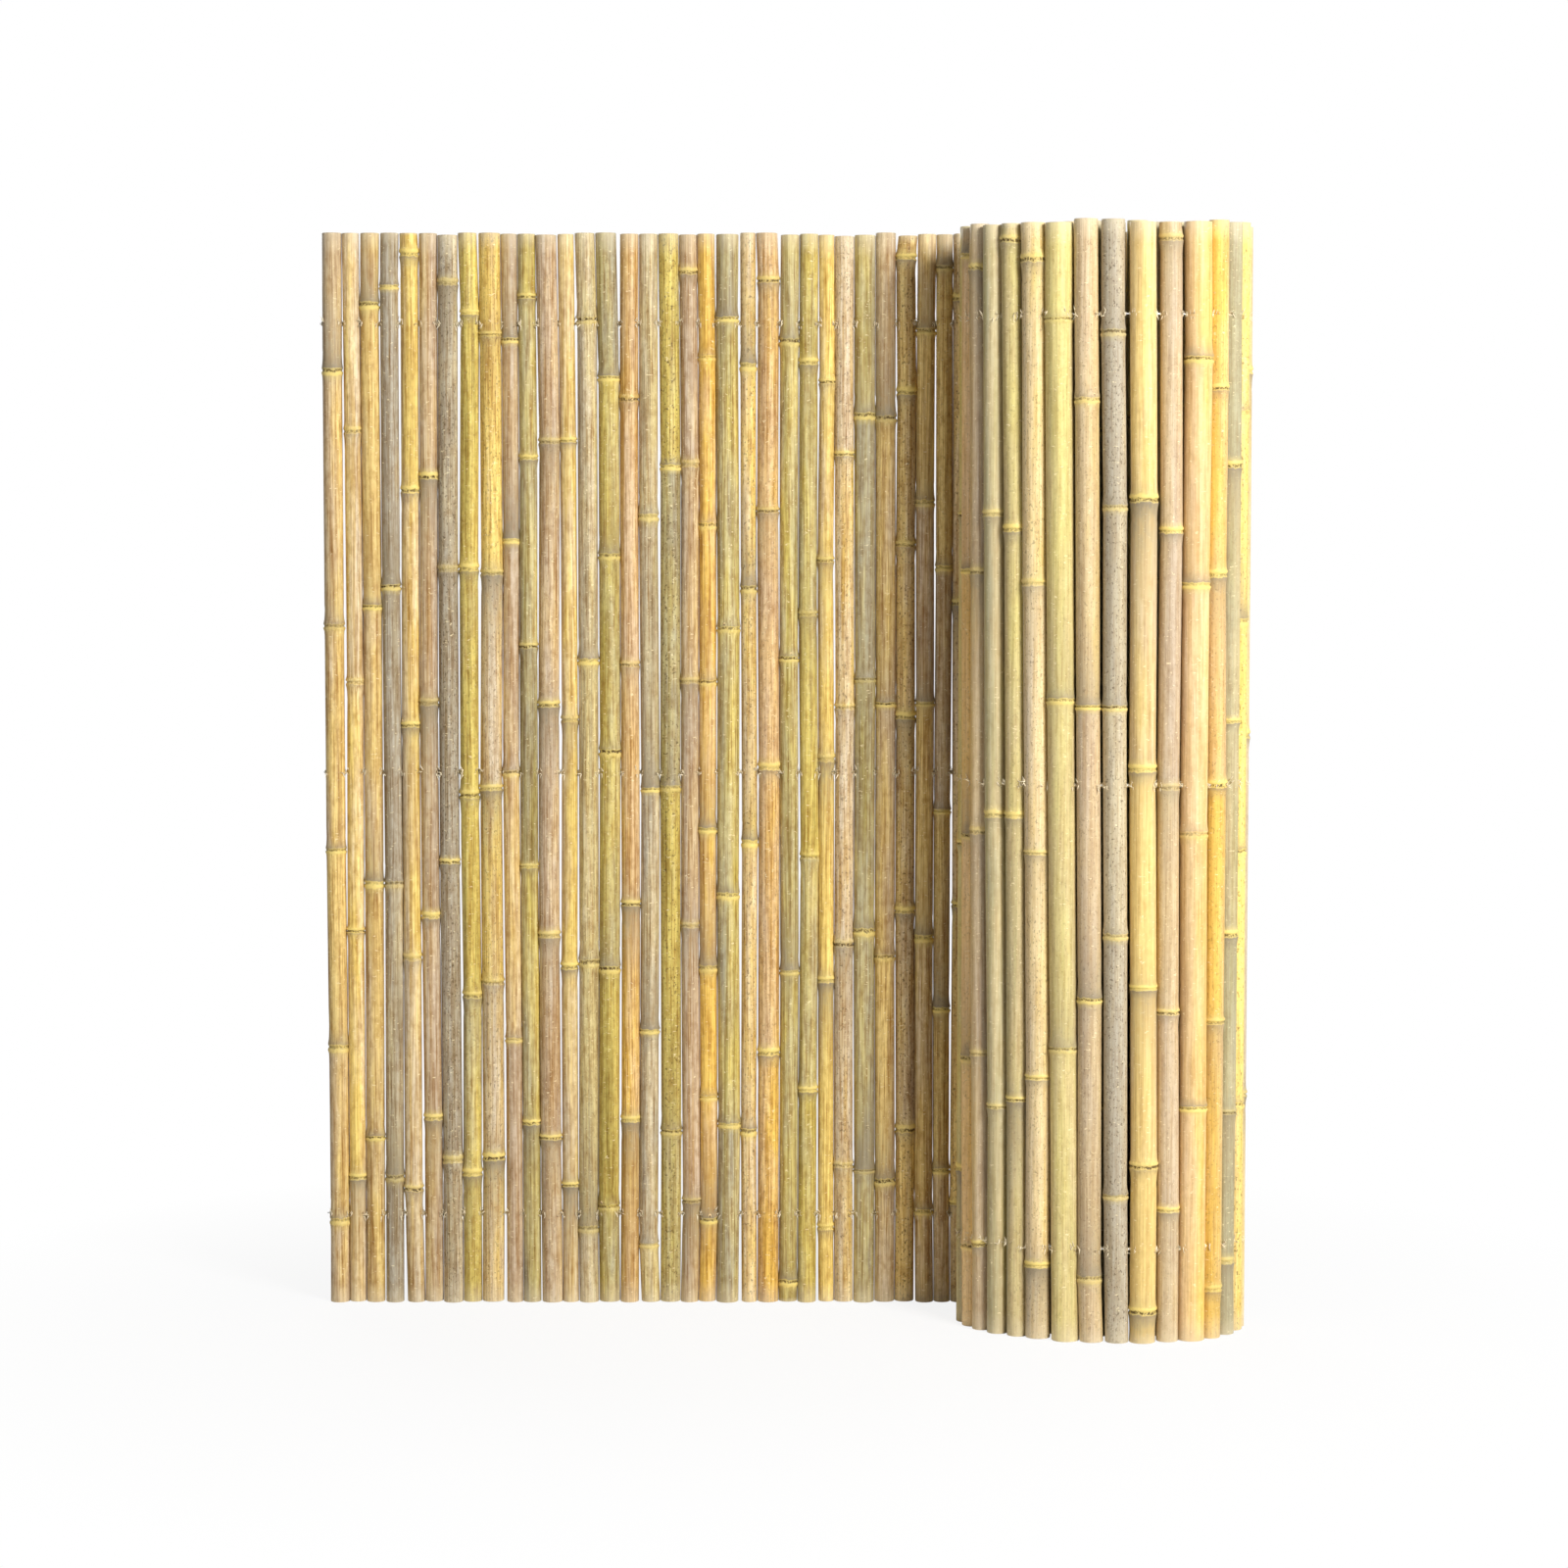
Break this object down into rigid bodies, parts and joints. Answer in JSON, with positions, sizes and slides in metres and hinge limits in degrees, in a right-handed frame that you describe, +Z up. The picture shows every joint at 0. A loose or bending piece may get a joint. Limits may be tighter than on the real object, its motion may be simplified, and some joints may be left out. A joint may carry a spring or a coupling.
{
  "type": "rolled bamboo fence",
  "caption": "Garden fence of drilled bamboo canes threaded on galvanised wires, standing partly unrolled: a flat panel that runs behind and into a loose oval roll.",
  "frame": {"origin": "on the ground, at the middle of the whole object's outline seen from above", "axes": "+Z up along the canes, +X along the flat panel towards the roll, +Y from the roll to the panel behind it"},
  "size_m": [1.0407, 0.2502, 1.219],
  "materials": {
    "bamboo_straw": "natural cane skin, satin",
    "bamboo_golden": "natural cane skin, satin",
    "bamboo_tan": "natural cane skin, satin",
    "bamboo_olive": "natural cane skin, satin",
    "bamboo_green": "natural cane skin, satin",
    "bamboo_grey": "natural cane skin, satin",
    "galvanised_wire": "galvanised, dull"
  },
  "bodies": {
    "root": {"panel_cane_01": "bamboo_tan", "panel_cane_02": "bamboo_straw", "panel_cane_03": "bamboo_tan", "panel_cane_04": "bamboo_grey", "panel_cane_05": "bamboo_straw", "panel_cane_06": "bamboo_tan", "panel_cane_07": "bamboo_grey", "panel_cane_08": "bamboo_olive", "panel_cane_09": "bamboo_straw", "panel_cane_10": "bamboo_tan", "panel_cane_11": "bamboo_olive", "panel_cane_12": "bamboo_tan", "panel_cane_13": "bamboo_straw", "panel_cane_14": "bamboo_grey", "panel_cane_15": "bamboo_olive", "panel_cane_16": "bamboo_golden", "panel_cane_17": "bamboo_grey", "panel_cane_18": "bamboo_olive", "panel_cane_19": "bamboo_tan", "panel_cane_20": "bamboo_golden", "panel_cane_21": "bamboo_olive", "panel_cane_22": "bamboo_straw", "panel_cane_23": "bamboo_golden", "panel_cane_24": "bamboo_olive", "panel_cane_25": "bamboo_olive", "panel_cane_26": "bamboo_straw", "panel_cane_27": "bamboo_straw", "panel_cane_28": "bamboo_olive", "panel_cane_29": "bamboo_tan", "panel_cane_30": "bamboo_tan", "panel_cane_31": "bamboo_tan", "panel_cane_32": "bamboo_tan", "face_cane_01": "bamboo_straw", "face_cane_02": "bamboo_green", "face_cane_03": "bamboo_golden", "face_cane_04": "bamboo_golden", "face_cane_05": "bamboo_tan", "face_cane_06": "bamboo_tan", "face_cane_07": "bamboo_grey", "face_cane_08": "bamboo_tan", "face_cane_09": "bamboo_green", "face_cane_10": "bamboo_straw", "face_cane_11": "bamboo_green", "face_cane_12": "bamboo_green", "face_cane_13": "bamboo_tan", "face_cane_14": "bamboo_golden", "tail_canes": "bamboo_tan", "back_canes": "bamboo_straw", "side_canes": "bamboo_olive", "inner_canes_01": "bamboo_tan", "inner_canes_02": "bamboo_golden", "inner_canes_03": "bamboo_olive", "inner_canes_04": "bamboo_tan", "wire_top": "galvanised_wire", "wire_middle": "galvanised_wire", "wire_bottom": "galvanised_wire"}
  },
  "joints": []
}
